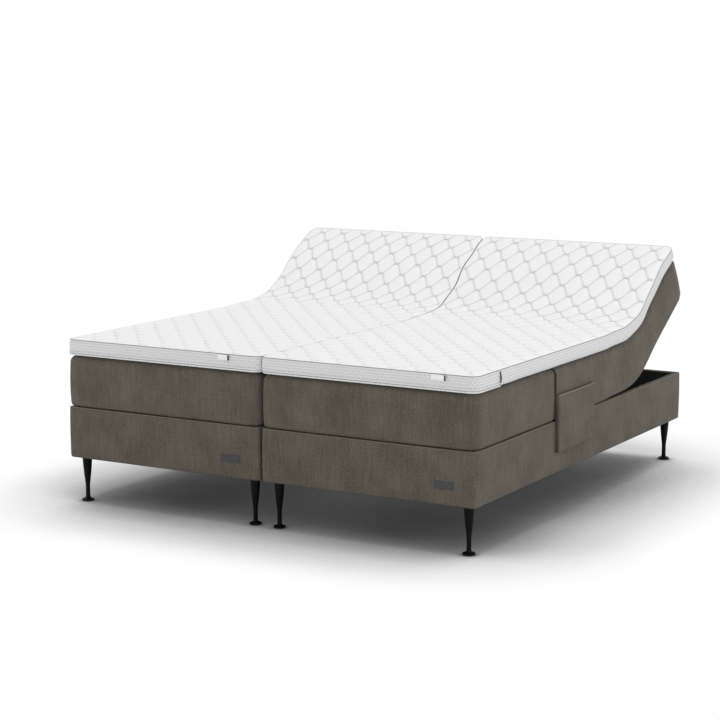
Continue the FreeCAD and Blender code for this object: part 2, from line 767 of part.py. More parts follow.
def pocket():
    """A cloth pocket on the right bed: tucked in above the mattress, with a pouch below its hem."""
    y = ("pocket_low_y", "pocket_high_y")
    inside_y = ("pocket_low_y + pocket_cloth", "pocket_high_y - pocket_cloth")
    back_face = "pocket_out + pocket_cloth"
    front = back_face + " + pocket_depth"
    flap_low = "mattress_high + side_gap"
    back = box("pocket_back", ("pocket_out", back_face), y, ("pocket_low", flap_low))
    flap = box("pocket_flap", (back_face + " - pocket_tuck", back_face),
               ("flap_low_y", "flap_high_y"), (flap_low, "topper_low - running_gap"))
    pouch = box("pocket_pouch", ("pocket_out", front + " + pocket_cloth"), y, ("pocket_low", "pocket_hem"))
    hollow = box("pocket_hollow", (back_face, front), inside_y,
                 ("pocket_low + pocket_cloth", "pocket_hem + overshoot"))
    cloth = fuse("pocket_cloth_whole", back, flap, cut("pocket_pouch_open", pouch, hollow))
    node("handset_pocket", [cloth])


def handset():
    """A slim wireless handset with four keys in wells, standing in the pocket."""
    back_face = "pocket_out + pocket_cloth + handset_gap"
    face = back_face + " + handset_thick"
    y = ("handset_y - handset_width / 2", "handset_y + handset_width / 2")
    shell = box("handset_block", (back_face, face), y, ("handset_low", "handset_low + handset_height"))
    shell = rounded("handset_soft", shell, along("x"), "handset_radius")
    wells = []
    for row in range(2):
        for column in range(2):
            key_y = "handset_y + %s * key_pitch_y / 2" % (-1 if column == 0 else 1)
            key_z = "key_top_z - %d * key_pitch_z" % row
            half_y, half_z = "key_width / 2", "key_height / 2"
            well = box("key_well", (face + " - key_sink - key_rise", face + " + overshoot"),
                       ("%s - %s - key_play" % (key_y, half_y), "%s + %s + key_play" % (key_y, half_y)),
                       ("%s - %s - key_play" % (key_z, half_z), "%s + %s + key_play" % (key_z, half_z)))
            wells.append(well)
            key = box("key_block", (face + " - key_sink", face + " + key_rise"),
                      ("%s - %s" % (key_y, half_y), "%s + %s" % (key_y, half_y)),
                      ("%s - %s" % (key_z, half_z), "%s + %s" % (key_z, half_z)))
            key = rounded("key_soft", key, along("x"), "key_radius")
            section, way = ("back", "legs")[row], ("down", "up")[column]
            node("key_%s_%s" % (section, way), [key])
    node("handset_shell", [cut("handset_open_shell", shell, *wells)])


box_of_boards()
legs()
fixed_frame()
motors()
seats = []
for bed_name, bed_centre in bed_centres.items():
    back_section(bed_name, bed_centre)
    leg_sections(bed_name, bed_centre)
    lift_shaft(bed_name, bed_centre, "back", sizes["back_angle"])
    lift_shaft(bed_name, bed_centre, "leg", 0)
    seats.append(soft_sections(bed_name, bed_centre))
for soft_kind, plural in (("mattress", "seat_mattresses"), ("topper", "seat_toppers")):
    node(plural, [seat[soft_kind] for seat in seats])
badges()
bed_links()
pocket()
handset()

doc.recompute()
for thing in doc.Objects:
    if "Invalid" in thing.State or "Error" in thing.State:
        raise RuntimeError("%s did not compute: %s" % (thing.Name, thing.State))
os.makedirs("parts", exist_ok=True)
for group in nodes:
    if group.Shape.isNull() or not group.Shape.isValid():
        raise RuntimeError(group.Label + " has no sound shape")
for group in nodes:
    group.Shape.exportStep("parts/%s.step" % group.Label)
    extent = group.Shape.BoundBox
    print("%-24s %3d solids  X %7.1f %7.1f  Y %8.1f %8.1f  Z %6.1f %6.1f" % (
        group.Label, len(group.Shape.Solids), extent.XMin, extent.XMax,
        extent.YMin, extent.YMax, extent.ZMin, extent.ZMax))
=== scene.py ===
import json
import math
import bpy
import bmesh
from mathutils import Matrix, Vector, noise


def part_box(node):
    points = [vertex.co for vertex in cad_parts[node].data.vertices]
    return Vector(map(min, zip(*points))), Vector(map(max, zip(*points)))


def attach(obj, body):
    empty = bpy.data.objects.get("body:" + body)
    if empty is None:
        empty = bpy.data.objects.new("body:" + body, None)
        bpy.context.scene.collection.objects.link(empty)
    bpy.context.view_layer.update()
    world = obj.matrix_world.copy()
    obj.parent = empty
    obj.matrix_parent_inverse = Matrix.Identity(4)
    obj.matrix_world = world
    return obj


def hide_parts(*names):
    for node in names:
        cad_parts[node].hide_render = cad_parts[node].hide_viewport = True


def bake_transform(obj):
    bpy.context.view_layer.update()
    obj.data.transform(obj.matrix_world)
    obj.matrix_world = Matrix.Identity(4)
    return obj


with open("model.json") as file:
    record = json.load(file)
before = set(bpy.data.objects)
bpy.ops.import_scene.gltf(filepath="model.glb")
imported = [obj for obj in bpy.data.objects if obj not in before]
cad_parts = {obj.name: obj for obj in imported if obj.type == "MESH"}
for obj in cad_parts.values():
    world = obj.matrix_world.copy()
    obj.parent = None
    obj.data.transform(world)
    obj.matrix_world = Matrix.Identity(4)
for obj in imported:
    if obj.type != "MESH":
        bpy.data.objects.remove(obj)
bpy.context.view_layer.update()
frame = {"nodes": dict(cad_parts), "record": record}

joints = {joint["name"]: joint for joint in frame["record"]["behaviour"]["joints"]}
nodes = frame["nodes"]
beds = {"left": -1, "right": 1}     # the side of the middle that each bed stands on
print("frame loaded")


# camera, light and floor

cameraValues = {"azimuth": 29.996, "elevation": 9.111, "lens": 97.205, "place": (3.8949, -6.9967, 1.7895)}


def setCamera(v):
    camera = bpy.data.objects.new("camera", bpy.data.cameras.new("camera"))
    bpy.context.collection.objects.link(camera)
    camera.data.lens = v["lens"]
    camera.data.sensor_width = 36
    camera.data.clip_end = 80
    camera.location = v["place"]
    camera.rotation_euler = (math.radians(90 - v["elevation"]), 0, math.radians(v["azimuth"]))
    bpy.context.scene.camera = camera


lightValues = {
    "skyStrength": 0.92,
    "softboxes": {      # where each lamp hangs, what it points at, its size and its power
        "sideSoftbox": ((6.0, 0.6, 2.6), (0.4, 0, 0.4), 3.2, 30),
    },
}


def setLight(v):
    scene = bpy.context.scene
    scene.view_settings.view_transform = "Standard"
    world = bpy.data.worlds.new("studio")
    scene.world = world
    world.use_nodes = True
    sky = world.node_tree.nodes["Background"]
    sky.inputs["Color"].default_value = (1, 1, 1, 1)
    seen = addNode(world.node_tree, "ShaderNodeLightPath").outputs["Is Camera Ray"]
    strength = ranged(world.node_tree, seen, 0.0, 1.0, v["skyStrength"], 1.0)
    feed(world.node_tree, sky.inputs["Strength"], strength)
    for name, (place, target, size, power) in v["softboxes"].items():
        lamp = bpy.data.lights.new(name, "AREA")
        lamp.size = size
        lamp.energy = power
        holder = bpy.data.objects.new(name, lamp)
        bpy.context.collection.objects.link(holder)
        holder.location = place
        holder.rotation_euler = (Vector(target) - Vector(place)).to_track_quat("-Z", "Y").to_euler()


# nodes

def newMaterial(name, **values):
    # a material with its Principled shader set, and the tree and shader to build on
    material = bpy.data.materials.new(name)
    material.use_nodes = True
    shader = material.node_tree.nodes["Principled BSDF"]
    for socket, value in values.items():
        shader.inputs[socket.replace("_", " ")].default_value = value
    return material, material.node_tree, shader


def addNode(tree, kind, inputs=(), **values):
    node = tree.nodes.new(kind)
    for name, value in values.items():
        setattr(node, name, value)
    for socket, value in dict(inputs).items():
        feed(tree, node.inputs[socket], value)
    return node


def feed(tree, socket, value):
    if isinstance(value, bpy.types.NodeSocket):
        tree.links.new(value, socket)
    else:
        socket.default_value = value


def sums(tree, operation, *inputs):
    return addNode(tree, "ShaderNodeMath", dict(enumerate(inputs)), operation=operation).outputs[0]


def mixed(tree, amount, first, second):
    return addNode(tree, "ShaderNodeMix", {0: amount, 6: first, 7: second}, data_type="RGBA").outputs[2]


def ranged(tree, value, low, high, toLow=0.0, toHigh=1.0):
    return addNode(tree, "ShaderNodeMapRange", {0: value, 1: low, 2: high, 3: toLow, 4: toHigh}).outputs[0]


def noised(tree, place, scale, detail, roughness=0.5):
    inputs = {"Vector": place, "Scale": scale, "Detail": detail, "Roughness": roughness}
    return addNode(tree, "ShaderNodeTexNoise", inputs).outputs[0]


def bumped(tree, shader, height, strength, distance):
    bump = addNode(tree, "ShaderNodeBump", {"Strength": strength, "Distance": distance, "Height": height})
    tree.links.new(bump.outputs[0], shader.inputs["Normal"])


def newGroup(name, inputs, outputs):
    group = bpy.data.node_groups.new(name, "ShaderNodeTree")
    for socket, kind, value in inputs:
        made = group.interface.new_socket(name=socket, in_out="INPUT", socket_type=kind)
        if value is not None:
            made.default_value = value
    for socket, kind in outputs:
        group.interface.new_socket(name=socket, in_out="OUTPUT", socket_type=kind)
    return group, addNode(group, "NodeGroupInput").outputs, addNode(group, "NodeGroupOutput").inputs


def useGroup(tree, group, inputs):
    node = tree.nodes.new("ShaderNodeGroup")
    node.node_tree = group
    for socket, value in inputs.items():
        feed(tree, node.inputs[socket], value)
    return node.outputs


def clothGroup():
    # velvety cloth: soft clouds, streaks down the pile, threads and a fine speckle, from a UV map in metres
    group, given, out = newGroup(
        "clothPile",
        [("Vector", "NodeSocketVector", None), ("Clouds", "NodeSocketFloat", 7.0),
         ("Streaks", "NodeSocketFloat", 90.0), ("Flecks", "NodeSocketFloat", 170.0),
         ("Threads", "NodeSocketFloat", 420.0)],
        [("Tone", "NodeSocketFloat"), ("Height", "NodeSocketFloat")])
    clouds = noised(group, given["Vector"], given["Clouds"], 3.0, 0.55)
    tall = addNode(group, "ShaderNodeMapping", {"Vector": given["Vector"], "Scale": (1.0, 0.11, 1.0)})
    streaks = noised(group, tall.outputs[0], given["Streaks"], 2.0, 0.6)
    flecks = noised(group, given["Vector"], given["Flecks"], 3.0, 0.75)
    speckle = noised(group, given["Vector"], given["Threads"], 1.0, 0.7)
    apart = addNode(group, "ShaderNodeSeparateXYZ", {0: given["Vector"]})
    turn = sums(group, "MULTIPLY", given["Threads"], 6.283)
    weft = sums(group, "SINE", sums(group, "MULTIPLY", apart.outputs[0], turn))
    warp = sums(group, "SINE", sums(group, "MULTIPLY", apart.outputs[1], turn))
    weave = sums(group, "MULTIPLY", weft, warp)
    cloudy = sums(group, "MULTIPLY", ranged(group, clouds, 0.3, 0.7, -1.0, 1.0), 0.42)
    streaky = sums(group, "MULTIPLY", ranged(group, streaks, 0.3, 0.7, -1.0, 1.0), 0.30)
    speckled = sums(group, "MULTIPLY", ranged(group, speckle, 0.3, 0.7, -1.0, 1.0), 0.30)
    flecked = sums(group, "MULTIPLY", ranged(group, flecks, 0.3, 0.7, -1.0, 1.0), 0.85)
    broad, fine = sums(group, "ADD", cloudy, streaky), sums(group, "ADD", flecked, speckled)
    group.links.new(sums(group, "ADD", broad, fine), out["Tone"])
    group.links.new(sums(group, "ADD", sums(group, "MULTIPLY", weave, 0.4), speckled), out["Height"])
    return group


def grainGroup():
    # a fine grain and worn patches for hard parts, on Object coordinates
    group, given, out = newGroup(
        "surfaceGrain",
        [("Vector", "NodeSocketVector", None), ("Grain", "NodeSocketFloat", 900.0),
         ("Patches", "NodeSocketFloat", 14.0)],
        [("Tone", "NodeSocketFloat"), ("Height", "NodeSocketFloat"), ("Wear", "NodeSocketFloat")])
    grain = noised(group, given["Vector"], given["Grain"], 2.0)
    patches = noised(group, given["Vector"], given["Patches"], 4.0, 0.6)
    crowded = sums(group, "MULTIPLY", given["Patches"], 9.0)
    dust = addNode(group, "ShaderNodeTexVoronoi", {"Vector": given["Vector"], "Scale": crowded})
    group.links.new(ranged(group, patches, 0.3, 0.7, -1.0, 1.0), out["Tone"])
    group.links.new(grain, out["Height"])
    specks = sums(group, "LESS_THAN", dust.outputs["Distance"], 0.07)
    group.links.new(sums(group, "MULTIPLY", specks, ranged(group, patches, 0.45, 0.65)), out["Wear"])
    return group


groups = {"cloth": clothGroup(), "grain": grainGroup()}


def uvOf(tree):
    return addNode(tree, "ShaderNodeUVMap", (), uv_map="flat").outputs[0]


def objectOf(tree):
    return addNode(tree, "ShaderNodeTexCoord").outputs["Object"]


clothValues = {
    "light": (0.146, 0.127, 0.102, 1), "dark": (0.058, 0.050, 0.039, 1),
    "roughness": 0.88, "sheen": 0.12, "sheenTint": (0.75, 0.68, 0.58, 1),
}


def clothMaterial(name, v, threads=420.0):
    material, tree, shader = newMaterial(
        name, Roughness=v["roughness"], Sheen_Weight=v["sheen"], Sheen_Roughness=0.45,
        Sheen_Tint=v["sheenTint"], Specular_IOR_Level=0.18)
    cloth = useGroup(tree, groups["cloth"], {"Vector": uvOf(tree), "Threads": threads})
    tone = ranged(tree, cloth["Tone"], -1.0, 1.0)
    tree.links.new(mixed(tree, tone, v["dark"], v["light"]), shader.inputs["Base Color"])
    bumped(tree, shader, cloth["Height"], 0.35, 0.0006)
    return material


knitValues = {
    "face": (0.965, 0.965, 0.965, 1), "valleyShade": (0.52, 0.52, 0.525, 1), "fluff": (0.86, 0.86, 0.86, 1),
    "ribTone": 0.93, "ribPitch": 0.0115, "ribLean": 0.62,
}


def knitMaterial(name, v):
    # the quilted top: fine slanting ribs, and a painted shade along the sewn valleys
    material, tree, shader = newMaterial(name, Roughness=0.82, Sheen_Weight=0.12, Specular_IOR_Level=0.2)
    uv = uvOf(tree)
    slant = addNode(tree, "ShaderNodeMapping", {"Vector": uv, "Rotation": (0, 0, v["ribLean"])})
    across = addNode(tree, "ShaderNodeSeparateXYZ", {0: slant.outputs[0]}).outputs[0]
    ribs = sums(tree, "SINE", sums(tree, "MULTIPLY", across, 6.283 / v["ribPitch"]))
    ribs = ranged(tree, ribs, -1.0, 1.0)
    threads = noised(tree, uv, 700.0, 2.0)
    # painted shade: the mask that greys the valleys and the dots where they cross
    valleyShadeMask = addNode(tree, "ShaderNodeAttribute", (), attribute_name="valleyShade").outputs["Fac"]
    face = mixed(tree, ribs, v["face"], tuple(v["ribTone"] * c for c in v["face"][:3]) + (1,))
    face = mixed(tree, ranged(tree, threads, 0.35, 0.65, 0.0, 0.25), face, v["fluff"])
    tree.links.new(mixed(tree, valleyShadeMask, face, v["valleyShade"]), shader.inputs["Base Color"])
    height = sums(tree, "ADD", sums(tree, "MULTIPLY", ribs, 0.6), sums(tree, "MULTIPLY", threads, 0.5))
    bumped(tree, shader, height, 0.3, 0.0008)
    return material


bandValues = {
    "pitch": 0.0125, "row": 0.0105,     # of the holes
    "knit": (0.74, 0.74, 0.74, 1), "hole": (0.55, 0.55, 0.555, 1), "shade": (0.66, 0.66, 0.66, 1),
}


def bandMaterial(name, v):
    # spacer mesh: staggered rows of small holes in a light knit, the holes painted darker for the shade inside
    # them
    material, tree, shader = newMaterial(name, Roughness=0.7, Sheen_Weight=0.1, Specular_IOR_Level=0.25)
    uv = uvOf(tree)
    apart = addNode(tree, "ShaderNodeSeparateXYZ", {0: uv})
    row = sums(tree, "DIVIDE", apart.outputs[1], v["row"])
    shift = sums(tree, "MULTIPLY", sums(tree, "FLOORED_MODULO", sums(tree, "FLOOR", row), 2.0), 0.5)
    column = sums(tree, "ADD", sums(tree, "DIVIDE", apart.outputs[0], v["pitch"]), shift)
    dx = sums(tree, "SUBTRACT", sums(tree, "FRACT", column), 0.5)
    dy = sums(tree, "SUBTRACT", sums(tree, "FRACT", row), 0.5)
    squares = sums(tree, "ADD", sums(tree, "POWER", dx, 2.0), sums(tree, "POWER", dy, 2.0))
    # the hole mask: painted shade in the holes, and a dip for the bump
    hole = ranged(tree, sums(tree, "SQRT", squares), 0.12, 0.52, 1.0, 0.0)
    threads = noised(tree, uv, 900.0, 1.0)
    knit = mixed(tree, ranged(tree, threads, 0.3, 0.7, 0.0, 0.35), v["knit"], v["shade"])
    tree.links.new(mixed(tree, hole, knit, v["hole"]), shader.inputs["Base Color"])
    bumped(tree, shader, sums(tree, "SUBTRACT", threads, sums(tree, "MULTIPLY", hole, 1.5)), 0.6, 0.0012)
    return material


def tapeMaterial(name, colour, pitch=650.0, roughness=0.75):
    # woven tape, welt or thread: fine ribs across it
    material, tree, shader = newMaterial(name, Roughness=roughness, Sheen_Weight=0.15)
    ribs = noised(tree, objectOf(tree), pitch, 2.0)
    darker = tuple(0.7 * c for c in colour[:3]) + (1,)
    tree.links.new(mixed(tree, ranged(tree, ribs, 0.35, 0.65), darker, colour), shader.inputs["Base Color"])
    bumped(tree, shader, ribs, 0.35, 0.0005)
    return material


hardValues = {      # colour, roughness, metallic, coat, tone change, grain height, worn colour, specular
    "timber": ((0.022, 0.021, 0.020, 1), 0.8, 0.0, 0.0, 0.25, 0.4, (0.10, 0.095, 0.09, 1), 0.30),
    "plywood": ((0.026, 0.025, 0.024, 1), 0.85, 0.0, 0.0, 0.25, 0.4, (0.10, 0.095, 0.09, 1), 0.30),
    "black_steel": ((0.022, 0.022, 0.024, 1), 0.48, 0.0, 0.0, 0.2, 0.25, (0.12, 0.12, 0.12, 1), 0.30),
    "leg_lacquer": ((0.0022, 0.0022, 0.0025, 1), 0.36, 0.0, 0.0, 0.2, 0.05, (0.03, 0.03, 0.03, 1), 0.10),
    "zinc_steel": ((0.55, 0.56, 0.58, 1), 0.36, 1.0, 0.0, 0.2, 0.15, (0.30, 0.29, 0.28, 1), 0.50),
    "black_plastic": ((0.024, 0.024, 0.026, 1), 0.55, 0.0, 0.0, 0.15, 0.35, (0.09, 0.09, 0.09, 1), 0.40),
    "handset_plastic": ((0.042, 0.042, 0.046, 1), 0.38, 0.0, 0.1, 0.1, 0.2, (0.12, 0.12, 0.12, 1), 0.50),
    "key_rubber": ((0.19, 0.19, 0.20, 1), 0.7, 0.0, 0.0, 0.15, 0.2, (0.10, 0.10, 0.10, 1), 0.30),
    "badge_metal": ((0.060, 0.061, 0.064, 1), 0.5, 0.4, 0.0, 0.1, 0.12, (0.05, 0.05, 0.05, 1), 0.30),
}


def hardMaterial(name, values):
    colour, roughness, metallic, coat, change, relief, worn, specular = values
    material, tree, shader = newMaterial(
        name, Metallic=metallic, Coat_Weight=coat, Coat_Roughness=0.12, Specular_IOR_Level=specular)
    grain = useGroup(tree, groups["grain"], {"Vector": objectOf(tree)})
    darker = tuple(c * (1 - change) for c in colour[:3]) + (1,)
    lighter = tuple(min(1.0, c * (1 + change)) for c in colour[:3]) + (1,)
    toned = mixed(tree, ranged(tree, grain["Tone"], -1.0, 1.0), darker, lighter)
    tree.links.new(mixed(tree, grain["Wear"], toned, worn), shader.inputs["Base Color"])
    dull = ranged(tree, grain["Tone"], -1.0, 1.0, roughness * 0.88, min(1.0, roughness * 1.12))
    tree.links.new(dull, shader.inputs["Roughness"])
    bumped(tree, shader, grain["Height"], relief, 0.0003)
    return material


materials = {name: hardMaterial(name + "Finish", values) for name, values in hardValues.items()}
materials["upholstery"] = clothMaterial("taupeCloth", clothValues)
materials["knit"] = knitMaterial("quiltedKnit", knitValues)
materials["band"] = bandMaterial("spacerMesh", bandValues)
materials["tape"] = tapeMaterial("seamTape", (0.27, 0.27, 0.275, 1))
materials["piping"] = tapeMaterial("whitePiping", (0.80, 0.80, 0.80, 1))
materials["label"] = tapeMaterial("blankLabel", (0.98, 0.98, 0.97, 1), 900.0)
materials["webbing"] = tapeMaterial("blackWebbing", (0.016, 0.016, 0.017, 1))
materials["lining"] = tapeMaterial("blackLining", (0.014, 0.0135, 0.013, 1), 500.0, 0.95)
# lighter than the cloth: a painted highlight along the pocket's hem and the base's top edge
materials["highlightEdge"] = tapeMaterial("clothFoldHighlight", (0.165, 0.143, 0.112, 1), 300.0, 0.9)
materials["thread"] = tapeMaterial("taupeThread", (0.10, 0.088, 0.074, 1), 900.0)
for node in nodes.values():
    for holder in node.material_slots:
        given = holder.material.name.split(".")[0] if holder.material else None
        if given in hardValues:
            holder.material = materials[given]
print("materials made")


floorValues = {
    "reach": 0.62,
    "shadowTones": ((0.0, 0.02), (0.3, 0.055), (0.5, 0.13), (0.6, 0.185), (0.7, 0.35), (0.8, 0.58), (0.9, 0.85),
              (0.955, 0.97), (0.985, 1.0)),     # how open a point of the floor is, and the painted shadow tone there
}


def setFloor(v):
    # a pale studio floor that glows by itself, with a painted shadow under and beside the beds, darker where
    # nearby parts close off more of the sky
    material, tree, shader = newMaterial(
        "paintedShadowFloor", Base_Color=(0, 0, 0, 1), Roughness=1.0, Specular_IOR_Level=0.0, Emission_Strength=1.0)
    openness = addNode(tree, "ShaderNodeAmbientOcclusion", {"Distance": v["reach"]}, samples=32)
    shadowTones = addNode(tree, "ShaderNodeValToRGB", {0: openness.outputs["AO"]})
    stops = shadowTones.color_ramp.elements
    while len(stops) < len(v["shadowTones"]):
        stops.new(0.5)
    for stop, (place, tone) in zip(stops, v["shadowTones"]):
        stop.position, stop.color = place, (tone, tone, tone, 1)
    # the floor's glow takes the painted shadow tone
    tree.links.new(shadowTones.outputs[0], shader.inputs["Emission Color"])
    bm = bmesh.new()
    bmesh.ops.create_grid(bm, x_segments=4, y_segments=4, size=60)
    finished("floor", bm, [material])


# meshes

def finished(name, bm, surfaces, smooth=True):
    mesh = bpy.data.meshes.new(name)
    bm.to_mesh(mesh)
    bm.free()
    mesh.shade_smooth() if smooth else mesh.shade_flat()
    for surface in surfaces:
        mesh.materials.append(surface)
    piece = bpy.data.objects.new(name, mesh)
    bpy.context.collection.objects.link(piece)
    return piece


def kept(value, limit):
    return max(-limit, min(limit, value))


def fall(t):
    # smooth step from 0 to 1
    t = max(0.0, min(1.0, t))
    return t * t * (3 - 2 * t)


def arc(inset, level, radius, first, last, steps):
    # ring profile points on an arc, angles in degrees from level outwards
    return [(inset - radius * math.cos(math.radians(a)), level + radius * math.sin(math.radians(a)))
            for a in (first + (last - first) * n / steps for n in range(steps + 1))]


def roundedPlan(x, y, halfX, halfY, radius):
    # moves a grid point, measured from the middle, so that the grid's corners come out round
    u, w = (abs(x) - halfX) / radius + 1, (abs(y) - halfY) / radius + 1
    if u <= 0 or w <= 0:
        return x, y
    return (math.copysign(halfX - radius + radius * u * math.sqrt(1 - w * w / 2), x),
            math.copysign(halfY - radius + radius * w * math.sqrt(1 - u * u / 2), y))


def ringPlace(point, v, fromInset, toInset):
    # a point of the outline at one inset, moved straight out or in to another
    def core(inset):
        radius = max(v["corner"] - inset, 0.0015)
        return radius, v["halfX"] - inset - radius, v["halfY"] - inset - radius
    radius, coreX, coreY = core(fromInset)
    out = Vector((point.x - kept(point.x, coreX), point.y - kept(point.y, coreY))).normalized()
    radius, coreX, coreY = core(toInset)
    return kept(point.x, coreX) + out.x * radius, kept(point.y, coreY) + out.y * radius


def stepped(bm, edges):
    # extrudes edges once, and gives the new vertices, faces and outer edges
    made = bmesh.ops.extrude_edge_only(bm, edges=edges)["geom"]
    verts = {g for g in made if isinstance(g, bmesh.types.BMVert)}
    faces = [g for g in made if isinstance(g, bmesh.types.BMFace)]
    return verts, faces, [g for g in made if isinstance(g, bmesh.types.BMEdge)
                          and g.verts[0] in verts and g.verts[1] in verts]


def drawRings(bm, edges, v, rings, surface=0):
    # draws the outline's edges through a profile of (inset, level) rings; rings[0] is where they are now
    for (fromInset, _), (toInset, level) in zip(rings, rings[1:]):
        verts, faces, edges = stepped(bm, edges)
        for vert in verts:
            vert.co.x, vert.co.y = ringPlace(vert.co, v, fromInset, toInset)
            vert.co.z = level
        for face in faces:
            face.material_index = surface
    return edges


def markFlat(bm):
    # the UV map "flat": metres across and along each face, as the cloth was cut
    layer = bm.loops.layers.uv.new("flat")
    bm.normal_update()
    for face in bm.faces:
        x, y, z = (abs(c) for c in face.normal)
        for loop in face.loops:
            p = loop.vert.co
            loop[layer].uv = (p.x, p.y) if z > max(x, y) else (p.y, p.z) if x > y else (p.x, p.z)


# mattresses and toppers: each is made whole and flat, bent to rest, then cut at the hinges

bendValues = {
    "backStart": 0.20, "backEnd": 0.72,     # where the bend up to the back begins and ends
    "seatCut": 0.195, "kneeCut": -0.14,     # the cuts between back and seat, and seat and foot
    "seatStart": 0.19, "footEnd": -0.46,    # where the bend at the thigh begins, and the one at the knee ends
    "hipLift": 0.015, "hipAt": 0.37, "hipReach": 0.24,      # the mattress bridges the bend, without a dip
}


def bentPoint(y, z, tilt, pivot, v):
    # where a point of the flat block lies at rest, turned up about the back's hinge by a share of the tilt that
    # grows through the bend
    def turned(share):
        a = share * tilt
        dy, dz = y - pivot[1], z - pivot[2]
        return pivot[1] + dy * math.cos(a) - dz * math.sin(a), pivot[2] + dy * math.sin(a) + dz * math.cos(a)
    low, high = 0.0, 1.0
    for _ in range(26):
        share = (low + high) / 2
        if share < fall((turned(share)[0] - v["backStart"]) / (v["backEnd"] - v["backStart"])):
            low = share
        else:
            high = share
    return turned((low + high) / 2)


def cutAt(bm, place, normal=(0, 1, 0), geom=None):
    geom = geom or bm.verts[:] + bm.edges[:] + bm.faces[:]
    return bmesh.ops.bisect_plane(bm, geom=geom, dist=1e-6, plane_co=place, plane_no=normal)["geom"]


def softBlock(v):
    # a flat block with a rounded outline: a grid on top, rings down its sides and strips underneath
    bm = bmesh.new()
    bmesh.ops.create_grid(bm, x_segments=v["across"], y_segments=v["along"], size=1)
    inset, level = v["rings"][0]
    halfX, halfY = v["halfX"] - inset, v["halfY"] - inset
    for vert in bm.verts:
        x, y = vert.co.x * halfX, vert.co.y * halfY
        vert.co.x, vert.co.y = roundedPlan(x, y, halfX, halfY, v["corner"] - inset)
        vert.co.z = level
    edges = [edge for edge in bm.edges if edge.is_boundary]
    start = 0
    for surface, end in v["surfaces"]:
        edges = drawRings(bm, edges, v, v["rings"][start:end + 1], surface)
        start = end
    under = bmesh.ops.contextual_create(bm, geom=edges)["faces"]
    for face in under:
        face.material_index = v["surfaces"][-1][0]
    step = 2 * halfY / v["along"]
    for row in range(v["strip"], v["along"], v["strip"]):
        y = -halfY + row * step
        if abs(y) < halfY - v["corner"]:
            geom = set(under)
            for face in under:
                geom.update(face.verts, face.edges)
            under = [g for g in cutAt(bm, (0, y, 0), geom=list(geom)) if isinstance(g, bmesh.types.BMFace)]
    bmesh.ops.recalc_face_normals(bm, faces=bm.faces[:])
    return bm


def bendAndCut(bm, side, name, v, surfaces, filling):
    # bends a flat block to rest and cuts it into the pieces for the back, the seat and the foot
    bed = "left" if side < 0 else "right"
    joint = joints[bed + "_back_tilt"]
    tilt = -math.radians(joint["range_deg"][0])
    for vert in bm.verts:
        vert.co.x += side * v["centre"]
    for y in (bendValues["seatCut"], bendValues["kneeCut"]):
        cutAt(bm, (0, y, 0))
    markFlat(bm)
    for vert in bm.verts:
        if vert.co.y > bendValues["backStart"] - 0.1:
            vert.co.y, vert.co.z = bentPoint(vert.co.y, vert.co.z, tilt, joint["pos_m"], bendValues)
        near = 1 - abs(vert.co.y - bendValues["hipAt"]) / bendValues["hipReach"]
        vert.co.z += bendValues["hipLift"] * fall(near)
    bm.normal_update()
    layer = bm.verts.layers.float_vector.new("wholeNormal")
    for vert in bm.verts:
        vert[layer] = vert.normal
    seatCut, kneeCut = bendValues["seatCut"], bendValues["kneeCut"]
    parts = {"Back": (seatCut, 9), "Seat": (kneeCut, seatCut), "Foot": (-9, kneeCut)}
    made = {}
    for part, (low, high) in parts.items():
        half = bm.copy()
        gone = [face for face in half.faces if not low < face.calc_center_median().y < high]
        bmesh.ops.delete(half, geom=gone, context="FACES")
        capped = len(half.faces)
        for y in (low, high):
            rim = [edge for edge in half.edges if edge.is_boundary and abs(edge.verts[0].co.y - y) < 1e-4]
            if rim:
                for face in bmesh.ops.contextual_create(half, geom=rim)["faces"]:
                    face.material_index = filling
        bmesh.ops.recalc_face_normals(half, faces=half.faces[:])
        piece = finished(bed + part + name, half, surfaces)
        keepNormals(piece.data, capped)
        made[part] = piece
    bm.free()
    lower, node = name.lower(), bed + "_"
    for part, first, second, start, end in (
            ("Back", "root", node + "back", bendValues["backStart"], bendValues["backEnd"]),
            ("Seat", "root", node + "thigh", bendValues["seatStart"], kneeCut),
            ("Foot", node + "thigh", node + "calf", kneeCut, bendValues["footEnd"])):
        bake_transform(made[part])
    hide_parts(node + "back_" + lower)
    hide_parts(node + "thigh_" + lower, v["seatNode"])
    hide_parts(node + "calf_" + lower)
    for piece in made.values():
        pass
    return made


def keepNormals(mesh, capped):
    # the cut pieces keep the whole block's shading, so that no line shows where they meet
    whole = mesh.attributes["wholeNormal"].data
    normals = []
    for polygon in mesh.polygons:
        for corner in polygon.vertices:
            normals.append(polygon.normal if polygon.index >= capped else whole[corner].vector)
    mesh.normals_split_custom_set(normals)
    mesh.attributes.remove(mesh.attributes["wholeNormal"])


mattressValues = {
    "halfX": 0.450, "halfY": 1.000, "corner": 0.029, "centre": 0.454,
    "across": 30, "along": 96, "strip": 1,      # how finely the top is divided
    "rings": arc(0.028, 0.564, 0.028, 90, 0, 6)
    + [(-0.0012, 0.530), (-0.0020, 0.500), (-0.0022, 0.470), (-0.0014, 0.440)]
    + arc(0.018, 0.4045, 0.018, 0, -90, 5),
    "surfaces": [(0, 16)], "seatNode": "seat_mattresses", "slot": "upholstery", "fill": 0.95,
    "ripple": 0.0014, "rippleSize": 0.17,
    "joinAt": -0.3295, "footRound": 0.020, "seatRound": 0.008,      # the sewn join beside the pocket
    "joinFrom": 0.33, "joinDeepens": 0.06,
}


